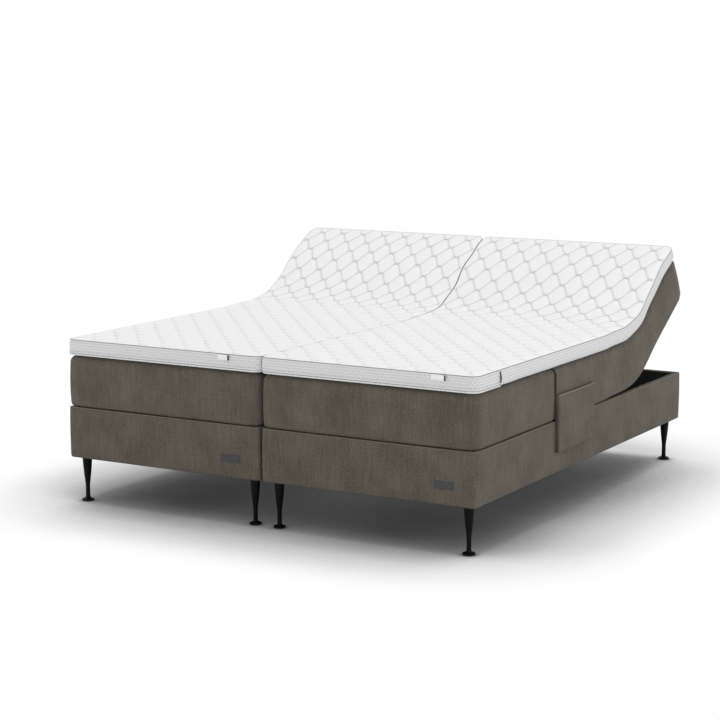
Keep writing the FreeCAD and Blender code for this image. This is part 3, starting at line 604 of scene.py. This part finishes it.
def sewJoin(bm, v):
    # a deep sewn join round the outer side of the right mattress, where the pocket's edge hangs
    at, wide, narrow = v["joinAt"], v["footRound"], v["seatRound"]
    footward = [at - wide * s for s in (1.0, 0.8, 0.6, 0.42, 0.26, 0.13, 0.05)]
    for y in footward + [at] + [at + narrow * s for s in (0.1, 0.4, 1.0)]:
        cutAt(bm, (0, y, 0))
    bm.normal_update()
    moves = []
    for vert in bm.verts:
        gap = at - vert.co.y
        reach = wide if gap >= 0 else narrow
        if abs(gap) < reach and vert.co.x > v["joinFrom"]:
            sunk = reach - math.sqrt(reach ** 2 - (reach - abs(gap)) ** 2)
            sunk += (wide - narrow) * max(0.0, 1 + gap / narrow) if gap < 0 else 0
            moves.append((vert, vert.normal * sunk * fall((vert.co.x - v["joinFrom"]) / v["joinDeepens"])))
    for vert, move in moves:
        vert.co -= Vector((move.x, 0, move.z))


def mattress(side, v):
    bm = softBlock(v)
    if side > 0:
        sewJoin(bm, v)
    bm.normal_update()
    for vert in bm.verts:
        wave = noise.noise(vert.co / v["rippleSize"] + Vector((side * 7, 0, 0)))
        vert.co -= vert.normal * v["ripple"] * (0.5 + 0.5 * wave)
    bendAndCut(bm, side, "Mattress", v, [materials["upholstery"]], 0)


topperValues = {
    "halfX": 0.450, "halfY": 1.000, "corner": 0.034, "centre": 0.454,
    "across": 150, "along": 336, "strip": 4,
    "rings": [(0.0022, 0.6560), (0.0006, 0.6562), (0.0000, 0.6550), (0.0008, 0.6532),     # seam tape
              (-0.0012, 0.6490), (-0.0026, 0.6420), (-0.0031, 0.6320), (-0.0030, 0.6220),
              (-0.0020, 0.6120), (0.0005, 0.6030), (0.0050, 0.5972), (0.0140, 0.5945)],
    "surfaces": [(1, 3), (2, 11)], "seatNode": "seat_toppers", "slot": "topper_fabric", "fill": 0.8,
    "edgeWave": 0.0014, "innerWave": 0.0030, "edgePitch": 0.201,       # the raised end's edges swing
    "waveFrom": 0.25, "waveGrows": 0.15, "waveTo": 0.93, "waveFades": 0.05,
    "close": 0.0078, "closed": 0.4531, "closeLow": 0.598, "closeFrom": 0.35, "closeGrows": 0.1,
    "headDrop": 0.0075, "headFrom": 0.88, "headReach": 0.12, "headDepth": 0.05,
    "wave": 0.109, "row": 0.067, "swing": 0.0335, "rowAt": 0.9185, "waveAt": {1: 0.067, -1: -0.825},
    "pillow": 0.0052, "softness": 0.0085, "crown": 0.0045, "edge": 0.030, "hemWave": 0.0016,
    "faint": 0.35, "plainFrom": 0.22, "plainReach": 0.2,        # the painted valley shade shows less on the flat part
}


def quilting(x, y, side, v):
    # 0 on a line of stitches and nearly 1 in the middle of a cell, between two crossing families of waves
    turn = 2 * math.pi * (x - v["waveAt"][side]) / v["wave"]
    lean = math.sqrt(1 + (v["swing"] * 2 * math.pi / v["wave"] * math.sin(turn)) ** 2)
    height = 1.0
    for shift, swing in ((0, v["swing"]), (v["row"], -v["swing"])):
        rows = (y - v["rowAt"] - shift - swing * math.cos(turn)) / (2 * v["row"])
        away = abs(rows - round(rows)) * 2 * v["row"] / lean
        height *= 1 - math.exp(-away / v["softness"])
    return height


def topper(side, v):
    bm = softBlock(v)
    valleyShade = bm.verts.layers.float.new("valleyShade")
    inset, seam = v["rings"][0]
    for vert in bm.verts:
        x, y = vert.co.x, vert.co.y
        coreX, coreY = v["halfX"] - v["corner"], v["halfY"] - v["corner"]
        outX, outY = max(0, abs(x) - coreX), max(0, abs(y) - coreY)
        inside = v["corner"] - inset - (math.hypot(outX, outY) if outX and outY else max(outX, outY))
        if vert.co.z > seam - 1e-5 and inside > -1e-6:
            cell = quilting(x + side * v["centre"], y, side, v)
            rise = 1 - math.exp(-max(0.0, inside) / v["edge"] * 1.6)
            vert.co.z += v["crown"] * rise + v["pillow"] * cell * min(1.0, rise * 1.15)
            # painted shade: grey along the lines of stitches and darker at their crossings, fainter on the flat
            # part
            shown = v["faint"] + (1 - v["faint"]) * fall((y - v["plainFrom"]) / v["plainReach"])
            line, knot = max(0.0, 1 - cell * 3.0) * shown, max(0.0, 1 - cell * 14.0)
            vert[valleyShade] = max(line, knot) * fall(inside / 0.012)
        nearEdge = fall((abs(x) - v["closeFrom"]) / v["closeGrows"])
        if vert.co.z > v["closeLow"] and x * side < 0:      # the inner edges nearly touch
            vert.co.x = kept(x * (1 + v["close"] * nearEdge), v["closed"])
        if y > v["waveFrom"]:      # the edges swing with the quilting, and the head end is pressed thin
            swing = v["edgeWave"] * math.sin(2 * math.pi * y / v["edgePitch"])
            ending = 1 - fall((y - v["waveTo"]) / v["waveFades"])
            swing *= fall((y - v["waveFrom"]) / v["waveGrows"]) * ending
            if x * side < 0:
                vert.co.x += v["innerWave"] / v["edgeWave"] * swing * nearEdge
            elif inside < 0.004:
                vert.co.x -= side * swing
                vert.co.z += 0.5 * swing
            pressed = fall((y - v["headFrom"]) / v["headReach"])
            vert.co.z -= v["headDrop"] * pressed * fall((vert.co.z - v["closeLow"]) / v["headDepth"])
        elif y > -0.8 and vert.co.z < 0.610:
            vert.co.z += v["hemWave"] * noise.noise(Vector((x * 9, y * 9, side * 3)))
    bendAndCut(bm, side, "Topper", v, [materials["knit"], materials["tape"], materials["band"]], 2)


for bed, side in beds.items():
    mattress(side, mattressValues)
    topper(side, topperValues)
print("mattresses and toppers made")


# base covers: cloth pulled round the boards and over their top edge, lined inside

coverValues = {
    "halfX": 0.450, "halfY": 1.000, "corner": 0.016, "centre": 0.454,
    "outside": arc(0.010, 0.190, 0.010, -90, 0, 4)
    + [(-0.0008, 0.240), (-0.0012, 0.290), (-0.0008, 0.340)]
    + arc(0.006, 0.379, 0.006, 0, 90, 4) + [(0.019, 0.3852)] + arc(0.0216, 0.3812, 0.004, 90, 180, 3),
    "inside": [(0.0256, 0.330), (0.0256, 0.270), (0.0256, 0.210), (0.0256, 0.1835), (0.0200, 0.1815)],
    "puff": 0.0009, "puffSize": 0.12, "puffTop": 0.384,
}


def baseCover(bed, side, v):
    bm = bmesh.new()
    bmesh.ops.create_grid(bm, x_segments=1, y_segments=1, size=1)
    first, level = v["outside"][0]
    for vert in bm.verts:
        vert.co = (vert.co.x * (v["halfX"] - first), vert.co.y * (v["halfY"] - first), level)
    bmesh.ops.bevel(bm, geom=bm.verts[:], offset=v["corner"] - first, offset_type="OFFSET",
                    segments=5, profile=0.5, affect="VERTICES", material=-1)
    bmesh.ops.delete(bm, geom=bm.faces[:], context="FACES_ONLY")
    long = [edge for edge in bm.edges if edge.calc_length() > 0.1]
    bmesh.ops.subdivide_edges(bm, edges=long, cuts=40)
    loop = bm.edges[:]
    top = drawRings(bm, loop, v, v["outside"])
    low = drawRings(bm, top, v, v["outside"][-1:] + v["inside"], 1)
    for face in bmesh.ops.bridge_loops(bm, edges=loop + low)["faces"]:
        face.material_index = 1
    bmesh.ops.recalc_face_normals(bm, faces=bm.faces[:])
    bm.normal_update()
    for vert in bm.verts:
        if vert.co.z < v["puffTop"]:
            wave = noise.noise(vert.co / v["puffSize"] + Vector((0, 0, side * 5)))
            vert.co -= vert.normal * v["puff"] * (0.5 + 0.5 * wave)
        vert.co.x += side * v["centre"]
    markFlat(bm)
    cover = finished(bed + "BaseCover", bm, [materials["upholstery"], materials["lining"]])
    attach(cover, "root")
    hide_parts("base_covers")


for bed, side in beds.items():
    baseCover(bed, side, coverValues)
print("base covers made")


# legs: turned on a lathe, with a wide foot

legValues = {
    "across": 0.400, "along": {"Foot": -0.950, "Head": 0.950}, "steps": 40,
    "profile": [(0.0000, 0.1800), (0.0192, 0.1800), (0.0199, 0.1793), (0.0200, 0.1780), (0.0186, 0.1600),
                (0.0166, 0.1350), (0.0142, 0.1100), (0.0116, 0.0880), (0.0097, 0.0730), (0.0089, 0.0620),
                (0.0087, 0.0500), (0.0087, 0.0300), (0.0089, 0.0200), (0.0100, 0.0150), (0.0130, 0.0118),
                (0.0180, 0.0100), (0.0222, 0.0088), (0.0237, 0.0076), (0.0240, 0.0062), (0.0238, 0.0042),
                (0.0228, 0.0031), (0.0000, 0.0030)],
}


def spun(places, axis, steps):
    # a profile turned round an axis through the origin
    bm = bmesh.new()
    points = [bm.verts.new(place) for place in places]
    line = [bm.edges.new(pair) for pair in zip(points, points[1:])]
    bmesh.ops.spin(bm, geom=points + line, cent=(0, 0, 0), axis=axis, angle=2 * math.pi, steps=steps,
                   use_merge=True)
    bmesh.ops.remove_doubles(bm, verts=bm.verts[:], dist=1e-6)
    bmesh.ops.recalc_face_normals(bm, faces=bm.faces[:])
    return bm


def turnedLeg(name, x, y, v):
    bm = spun([(radius, 0, z) for radius, z in v["profile"]], (0, 0, 1), v["steps"])
    bmesh.ops.translate(bm, verts=bm.verts[:], vec=(x, y, 0))
    leg = finished(name, bm, [materials["leg_lacquer"]])
    leg.data.set_sharp_from_angle(angle=math.radians(50))
    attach(leg, "root")
    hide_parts("legs")


for bed, side in beds.items():
    for end, y in legValues["along"].items():
        for place, x in (("Inner", -side), ("Outer", side)):
            middle = side * coverValues["centre"]
            turnedLeg(bed + end + place + "Leg", middle + x * legValues["across"], y, legValues)
print("legs made")


# pocket: one cloth over the mattress's edge, a pouch sewn on it, its hem and its stitches

pocketValues = {
    "low": -0.328, "high": 0.016, "bottom": 0.267, "hem": 0.488,
    "panel": [(0.812, 0.5930), (0.843, 0.5931), (0.874, 0.5932), (0.8822, 0.5921), (0.8898, 0.5889),
              (0.8963, 0.5841), (0.9012, 0.5775), (0.9043, 0.5700), (0.9054, 0.5620)],
    "fall": 26, "panelX": 0.9056, "cloth": 0.0013, "flatLength": 0.406,
    "frontX": 0.9228, "backX": 0.9070, "round": 0.004, "puff": 0.0012,
    "tuck": 0.0050, "tuckFrom": 0.425, "tuckReach": 0.06,       # the mouth lies closer to the panel
    "slitAt": 0.348, "slitFrom": -0.085, "sunk": 0.0045,
    "hemBack": 0.9140, "hemTuck": 0.0052, "hemWide": 0.0048, "hemSag": 0.0012, "lipBack": 0.9190,
    "stitch": 0.0034, "stitchPitch": 0.0052, "thread": 0.00035, "stitchInset": 0.007,
}


def extruded(bm, edges, vec, steps):
    for _ in range(steps):
        verts, _, edges = stepped(bm, edges)
        bmesh.ops.translate(bm, verts=list(verts), vec=vec)
    return edges


def thickened(bm, thickness):
    bmesh.ops.recalc_face_normals(bm, faces=bm.faces[:])
    bmesh.ops.solidify(bm, geom=bm.faces[:], thickness=thickness)
    bmesh.ops.recalc_face_normals(bm, faces=bm.faces[:])


def pocketPanel(v):
    bm = bmesh.new()
    low = v["panel"][-1][1]
    drop = [(v["panelX"], low + (v["bottom"] - low) * n / v["fall"]) for n in range(1, v["fall"] + 1)]
    points = [bm.verts.new((x, v["low"], z)) for x, z in v["panel"] + drop]
    line = [bm.edges.new(pair) for pair in zip(points, points[1:])]
    steps = 36
    extruded(bm, line, (0, (v["high"] - v["low"]) / steps, 0), steps)
    for vert in bm.verts:
        if vert.co.z < 0.56:
            vert.co.x += 0.0004 * noise.noise(vert.co * 14)
    thickened(bm, v["cloth"])
    markFlat(bm)
    return finished("pocketPanel", bm, [materials["upholstery"]])


def pocketPouch(v):
    # the front is a grid; its sides turn back to the panel through a rounded edge, and the top is hemmed
    bm = bmesh.new()
    bmesh.ops.create_grid(bm, x_segments=58, y_segments=40, size=1)
    middleY, halfY = (v["low"] + v["high"]) / 2, (v["high"] - v["low"]) / 2
    middleZ, halfZ = (v["bottom"] + v["hem"]) / 2, (v["hem"] - v["bottom"]) / 2
    for vert in bm.verts:
        u, w = vert.co.x, vert.co.y
        y, z = middleY + u * (halfY - v["round"]), middleZ + v["round"] / 2 + w * (halfZ - v["round"] / 2)
        x = v["frontX"] - v["puff"] - v["tuck"] * fall((z - v["tuckFrom"]) / v["tuckReach"])
        x = x + v["puff"] * (1 - u * u) * (1 - w * w) + 0.0004 * noise.noise(Vector((y, z, 3)) * 16)
        x -= v["sunk"] * fall((y - v["slitFrom"]) / 0.006) * fall((v["slitAt"] - z) / 0.004)
        vert.co = (x, y, z)
    sides = [e for e in bm.edges if e.is_boundary and not all(vert.co.z > v["hem"] - 1e-5 for vert in e.verts)]
    for out, back in ((0.29, 0.29), (0.42, 0.71), (0.29, 1.0)):
        verts, _, sides = stepped(bm, sides)
        for vert in verts:
            edge = halfY - v["round"] - 1e-4
            if abs(vert.co.y - middleY) > edge - 1e-4:
                vert.co.y += math.copysign(out * v["round"], vert.co.y - middleY)
            if vert.co.z < v["bottom"] + v["round"] + 1e-4:
                vert.co.z -= out * v["round"]
            vert.co.x -= 0.3 * v["round"] * back
    gusset = (v["frontX"] - v["backX"] - 0.004) / 3
    extruded(bm, sides, (-gusset, 0, 0), 3)
    for vert in bm.verts:
        vert.co.x = max(vert.co.x, v["backX"])
    thickened(bm, v["cloth"])
    markFlat(bm)
    return finished("pocketPouch", bm, [materials["upholstery"]])


def clothBar(name, low, high, material, steps=30, softness=0.0008, sag=0.0):
    # a folded edge of cloth: a rounded bar, cut along its length and left a little uneven
    bm = bmesh.new()
    bmesh.ops.create_cube(bm, size=1)
    size, middle = Vector(high) - Vector(low), (Vector(high) + Vector(low)) / 2
    for vert in bm.verts:
        vert.co = Vector(c * s for c, s in zip(vert.co, size)) + middle
    bmesh.ops.bevel(bm, geom=bm.edges[:], offset=softness, segments=3, profile=0.5, affect="EDGES", material=-1)
    longest = max(range(3), key=lambda axis: size[axis])
    normal = [float(axis == longest) for axis in range(3)]
    for n in range(1, steps):
        place = list(middle)
        place[longest] = low[longest] + size[longest] * n / steps
        cutAt(bm, place, normal)
    for vert in bm.verts:
        t = (vert.co[longest] - low[longest]) / size[longest]
        vert.co.z -= sag * 4 * t * (1 - t)
        vert.co += Vector((1, 0, 1)) * 0.0003 * noise.noise(vert.co * 35)
    markFlat(bm)
    return finished(name, bm, [materials[material]])


def stitchRow(name, paths, v, lift):
    # short rounded threads along straight paths on the pouch's front
    bm = bmesh.new()
    for start, end in paths:
        start, end = Vector(start), Vector(end)
        count = int((end - start).length / v["stitchPitch"])
        turn = (end - start).to_track_quat("Z", "Y").to_matrix().to_4x4()
        for n in range(count):
            at = start.lerp(end, (n + 0.5) / count)
            made = bmesh.ops.create_uvsphere(bm, u_segments=6, v_segments=4, radius=v["thread"])["verts"]
            for vert in made:
                vert.co.z *= v["stitch"] / 2 / v["thread"]
            bmesh.ops.transform(bm, matrix=turn, verts=made)
            bmesh.ops.translate(bm, verts=made, vec=at + Vector((lift(at), 0, 0)))
    return finished(name, bm, [materials["thread"]])


def sewPocket(v):
    panel, pouch = pocketPanel(v), pocketPouch(v)
    # the hem's lighter tone is a painted highlight along its ridge
    hem = clothBar("pocketHem", (v["hemBack"], v["low"] + 0.001, v["hem"] - v["hemWide"]),
                   (v["frontX"] - v["hemTuck"], v["high"] - 0.001, v["hem"] + 0.0010),
                   "highlightEdge", sag=v["hemSag"])
    lip = clothBar("pocketSlitLip", (v["lipBack"], v["slitFrom"], v["slitAt"] - 0.001),
                   (v["frontX"] + 0.0002, v["high"] - 0.002, v["slitAt"] + 0.0035), "upholstery", 12)
    inset, front = v["stitchInset"], v["frontX"] + 0.00005
    low, high, bottom = v["low"] + inset, v["high"] - inset, v["bottom"] + inset
    mouth, top = v["hem"] - 0.0105, v["hem"] - 0.012
    paths = [((front, low, bottom), (front, low, top)),
             ((front, low, bottom), (front, v["slitFrom"] - 0.004, bottom)),
             ((front, low, mouth), (front, high, mouth)),
             ((front, high, v["slitAt"] + 0.008), (front, high, top))]
    stitches = stitchRow("pocketStitches", paths, v, lambda at: -v["puff"] * 0.85)
    for piece in (panel, pouch, hem, lip, stitches):
        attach(piece, "right_thigh")
    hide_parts("handset_pocket")
    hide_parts("handset_pocket")


sewPocket(pocketValues)
print("pocket made")


# trim on the toppers: piping round the foot end, a pull strap and its welt, blank labels; plates on the base

trimValues = {
    "pipeEnd": -0.815, "pipes": ((-0.0006, 0.5985, 0.0036), (-0.0030, 0.6070, 0.0030)),
    "strapAt": -0.819, "strapLow": 0.5985, "strapHigh": 0.6515, "strapWide": 0.0085, "strapOut": 0.0062,
    "strapX": 0.9058, "strapWeltX": 0.9062, "strapWeltAt": 0.0085, "strapWeltHigh": 0.0485,
    "labels": {"right": (0.724, 0.781, 0.6325, 0.6535), "left": (-0.184, -0.135, 0.6325, 0.6525)},
    "labelY": -1.0034, "labelCurl": 0.0090, "shadowBarWide": 0.0020,
    "welt": {"inset": 0.0022, "level": 0.3838, "radius": 0.0016},
    "eyelet": [(0.0, 0.0003), (0.0044, 0.0003), (0.0047, 0.0013), (0.0060, 0.0018), (0.0080, 0.0017),
               (0.0098, 0.0010), (0.0105, 0.0), (0.0, -0.0008)],
    "eyeletHole": 0.0046, "badgeWide": 0.081, "badgeClear": 0.0005,
}


def tube(name, points, radius, material, closed=False):
    line = bpy.data.curves.new(name + "Line", "CURVE")
    line.dimensions, line.bevel_depth, line.bevel_resolution, line.use_fill_caps = "3D", radius, 3, True
    spline = line.splines.new("POLY")
    spline.points.add(len(points) - 1)
    spline.use_cyclic_u = closed
    for point, place in zip(spline.points, points):
        point.co = (*place, 1)
    holder = bpy.data.objects.new(name + "Line", line)
    bpy.context.collection.objects.link(holder)
    mesh = bpy.data.meshes.new_from_object(holder.evaluated_get(bpy.context.evaluated_depsgraph_get()))
    bpy.data.objects.remove(holder)
    mesh.name = name
    mesh.materials.clear()
    mesh.materials.append(materials[material])
    mesh.shade_smooth()
    piece = bpy.data.objects.new(name, mesh)
    bpy.context.collection.objects.link(piece)
    return piece


def footPiping(bed, side, v, block):
    for number, (inset, level, radius) in enumerate(v["pipes"]):
        corner = block["corner"] - inset
        coreX, coreY = block["halfX"] - block["corner"], block["halfY"] - block["corner"]
        points = []
        for sign in (-1, 1):
            straight = [(sign * (coreX + corner), v["pipeEnd"] - (coreY + v["pipeEnd"]) * n / 12)
                        for n in range(12)]
            angles = [math.radians(a) for a in range(0, 91, 6)]
            turn = [(sign * (coreX + corner * math.cos(a)), -coreY - corner * math.sin(a)) for a in angles]
            half = straight + turn
            points += half if sign < 0 else [(0.0, -coreY - corner)] + half[::-1]
        path = [(x + side * block["centre"], y, level + 0.0004 * noise.noise(Vector((x * 20, y * 20, number))))
                for x, y in points]
        pipe = tube(bed + "FootPiping" + "AB"[number], path, radius, "piping")
        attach(pipe, bed + "_calf")


def pullStrap(v):
    bm = bmesh.new()
    bmesh.ops.create_grid(bm, x_segments=4, y_segments=22, size=1)
    for vert in bm.verts:
        t = (vert.co.y + 1) / 2
        wide = v["strapWide"] / 2 * (0.35 + 0.65 * math.sin(math.pi * t))
        vert.co = (v["strapX"] + v["strapOut"] * math.sin(math.pi * (0.08 + 0.88 * t)),
                   v["strapAt"] + vert.co.x * wide, v["strapLow"] + (v["strapHigh"] - v["strapLow"]) * t)
    thickened(bm, 0.0012)
    strap = finished("pullStrap", bm, [materials["webbing"]])
    points = [(v["strapWeltX"] + 0.0008 * math.sin(math.pi * n / 16), v["strapAt"] + v["strapWeltAt"],
               v["strapLow"] + 0.002 + v["strapWeltHigh"] * n / 16) for n in range(17)]
    welt = tube("strapWelt", points, 0.0026, "piping")
    for piece in (strap, welt):
        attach(piece, "right_calf")


def blankLabel(bed, place, v):
    left, right, low, high = place
    bm = bmesh.new()
    bmesh.ops.create_grid(bm, x_segments=18, y_segments=6, size=1)
    for vert in bm.verts:
        t, h = (vert.co.x + 1) / 2, (vert.co.y + 1) / 2
        y = v["labelY"] - v["labelCurl"] * t ** 3 - 0.0006 * math.sin(math.pi * h)
        vert.co = (left + (right - left) * t, y, low + (high - low) * h)
    thickened(bm, 0.0007)
    label = finished(bed + "Label", bm, [materials["label"]])
    # a dark bar at the label's right end: painted shadow of its turned-out end
    shadowBar = clothBar(bed + "LabelFold", (right - 0.0006, v["labelY"] - v["labelCurl"], low + 0.001),
                    (right + v["shadowBarWide"], -1.0036, high - 0.001), "webbing", 6, 0.0004)
    for piece in (label, shadowBar):
        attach(piece, bed + "_calf")


def coverWelt(bed, side, v, block):
    # a thin welt along the top edge of the base's cloth: a real seam ridge, in a lighter tone that is a painted
    # highlight
    radius = block["corner"] - v["inset"]
    coreX, coreY = block["halfX"] - block["corner"], block["halfY"] - block["corner"]
    points = []
    for quarter, (x, y) in enumerate(((1, 1), (-1, 1), (-1, -1), (1, -1))):
        for angle in range(quarter * 90, quarter * 90 + 91, 15):
            turn = math.radians(angle)
            points.append((side * block["centre"] + x * coreX + radius * math.cos(turn),
                           y * coreY + radius * math.sin(turn), v["level"]))
    welt = tube(bed + "CoverWelt", points, v["radius"], "highlightEdge", closed=True)
    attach(welt, "root")


def headboardEyelets(bed, v):
    # a ring round each headboard hole; the hole is a closed disc in the black lining, for the box's black
    # lining and painted shade inside the hole
    mount = next(m for m in frame["record"]["mounts"] if m["name"] == bed + "_headboard_holes")
    x, y, z = mount["pos_m"]
    for hand, place in ((-1, "Left"), (1, "Right")):
        bm = spun([(radius, out, 0) for radius, out in v["eyelet"]], (0, 1, 0), 24)
        for face in bm.faces:
            middle = face.calc_center_median()
            # the disc over the hole takes the black lining: painted shade of the hole, over the box's real
            # black lining
            face.material_index = int(math.hypot(middle.x, middle.z) < v["eyeletHole"] and middle.y > 0)
        apart = mount["dims"]["spacing_x_mm"] / 2000
        bmesh.ops.translate(bm, verts=bm.verts[:], vec=(x + hand * apart, y, z))
        ring = finished(bed + place + "HeadboardEyelet", bm, [materials["zinc_steel"], materials["lining"]])
        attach(ring, "root")


def badgePlate(bed, low, high):
    bm = bmesh.new()
    bmesh.ops.create_cube(bm, size=1)
    size, middle = high - low, (high + low) / 2
    for vert in bm.verts:
        vert.co = Vector(c * s for c, s in zip(vert.co, size)) + middle
    deep = [edge for edge in bm.edges if abs(edge.verts[0].co.y - edge.verts[1].co.y) > 1e-6]
    bmesh.ops.bevel(bm, geom=deep, offset=0.0016, segments=4, profile=0.5, affect="EDGES", material=-1)
    front = min(bm.faces, key=lambda face: face.calc_center_median().y)
    bmesh.ops.inset_region(bm, faces=[front], thickness=0.0005, depth=0.0004)
    bmesh.ops.inset_region(bm, faces=[front], thickness=0.0012)
    bmesh.ops.inset_region(bm, faces=[front], thickness=0.0004, depth=-0.0005)
    bmesh.ops.recalc_face_normals(bm, faces=bm.faces[:])
    plate = finished(bed + "Badge", bm, [materials["badge_metal"]], smooth=False)
    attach(plate, "root")
    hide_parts("badges")


for bed, side in beds.items():
    footPiping(bed, side, trimValues, topperValues)
    blankLabel(bed, trimValues["labels"][bed], trimValues)
    coverWelt(bed, side, trimValues["welt"], coverValues)
    headboardEyelets(bed, trimValues)
pullStrap(trimValues)
badgeLow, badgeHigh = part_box("badges")
wide, back = trimValues["badgeWide"], badgeLow.y + trimValues["badgeClear"]
badgePlate("left", Vector((badgeLow.x, back, badgeLow.z)),
           Vector((badgeLow.x + wide, badgeHigh.y, badgeHigh.z)))
badgePlate("right", Vector((badgeHigh.x - wide, back, badgeLow.z)), badgeHigh)
print("trim made")

setCamera(cameraValues)
setLight(lightValues)
setFloor(floorValues)
